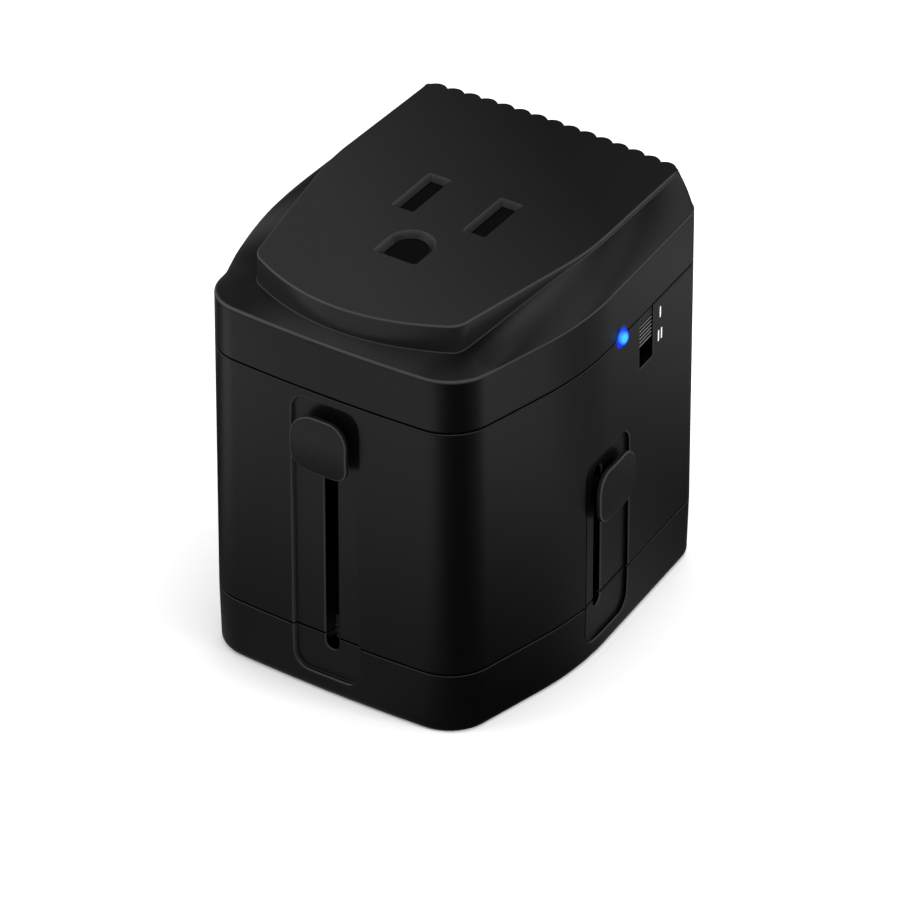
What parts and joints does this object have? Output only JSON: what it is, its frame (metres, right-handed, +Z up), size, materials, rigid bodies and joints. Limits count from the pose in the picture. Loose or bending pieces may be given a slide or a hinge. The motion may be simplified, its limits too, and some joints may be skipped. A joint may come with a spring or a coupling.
{
  "type": "travel voltage converter",
  "caption": "Hand-sized black plastic converter block with a sloping grounded outlet on top, sliding plugs that extend from its base, a mode switch and a blue lamp.",
  "frame": {"origin": "middle of the flat base that the plugs come out of", "axes": "+Z up through the outlet, front with the long slider towards -Y, side with the switch and lamp +X"},
  "size_m": [0.0556, 0.0678, 0.0696],
  "materials": {
    "shell": "satin black moulded plastic",
    "knob": "satin black moulded plastic",
    "carriage": "satin",
    "sleeve": "matte",
    "plated_pin": "nickel plated",
    "contact_brass": "rolled strip",
    "insulator": "matte",
    "board": "solder mask",
    "sink": "extruded",
    "screw_steel": "zinc plated",
    "tinned_steel": "tinned",
    "epoxy": "moulded epoxy",
    "film": "glossy",
    "fuse_glass": "clear",
    "lamp_lens": "diffused blue lens"
  },
  "bodies": {
    "housing": {"top_cover": "shell", "mid_body": "shell", "bottom_cover": "shell", "line_contact": "contact_brass", "neutral_contact": "contact_brass", "ground_contact": "contact_brass", "bus_bar_1": "contact_brass", "bus_bar_2": "contact_brass", "fuse_clip_1": "contact_brass", "fuse_clip_2": "contact_brass", "contact_retainer": "insulator", "circuit_board": "board", "heat_sink": "sink", "case_screw_1": "screw_steel", "case_screw_2": "screw_steel", "case_screw_3": "screw_steel", "case_screw_4": "screw_steel", "retainer_screw_1": "screw_steel", "retainer_screw_2": "screw_steel", "triac_screw": "screw_steel", "switch_body": "tinned_steel", "lamp_lead_1": "tinned_steel", "lamp_lead_2": "tinned_steel", "fuse_cap_1": "tinned_steel", "fuse_cap_2": "tinned_steel", "thermal_cutout": "tinned_steel", "triac": "epoxy", "choke": "epoxy", "film_capacitor": "film", "fuse_tube": "fuse_glass", "lamp": "lamp_lens"},
    "front_plug": {"front_knob": "knob", "eu_carriage": "carriage", "eu_pin_1": "plated_pin", "eu_pin_2": "plated_pin"},
    "right_plug": {"right_knob": "knob", "au_carriage": "carriage", "au_blade_1": "plated_pin", "au_blade_2": "plated_pin"},
    "left_plug": {"left_knob": "knob", "uk_carriage": "carriage", "uk_pin_1": "plated_pin", "uk_pin_2": "plated_pin", "uk_sleeve_1": "sleeve", "uk_sleeve_2": "sleeve", "uk_earth_pin": "plated_pin"},
    "mode_switch": {"switch_knob": "knob"}
  },
  "joints": [
    {"name": "front_slide", "type": "slide", "parent": "housing", "child": "front_plug", "axis": [0, 0, -1], "range_m": [0, 0.0336]},
    {"name": "right_slide", "type": "slide", "parent": "housing", "child": "right_plug", "axis": [0, 0, -1], "range_m": [0, 0.018]},
    {"name": "left_slide", "type": "slide", "parent": "housing", "child": "left_plug", "axis": [0, 0, -1], "range_m": [0, 0.0232]},
    {"name": "mode_slide", "type": "slide", "parent": "housing", "child": "mode_switch", "axis": [0, 0, -1], "range_m": [0, 0.0032]}
  ]
}
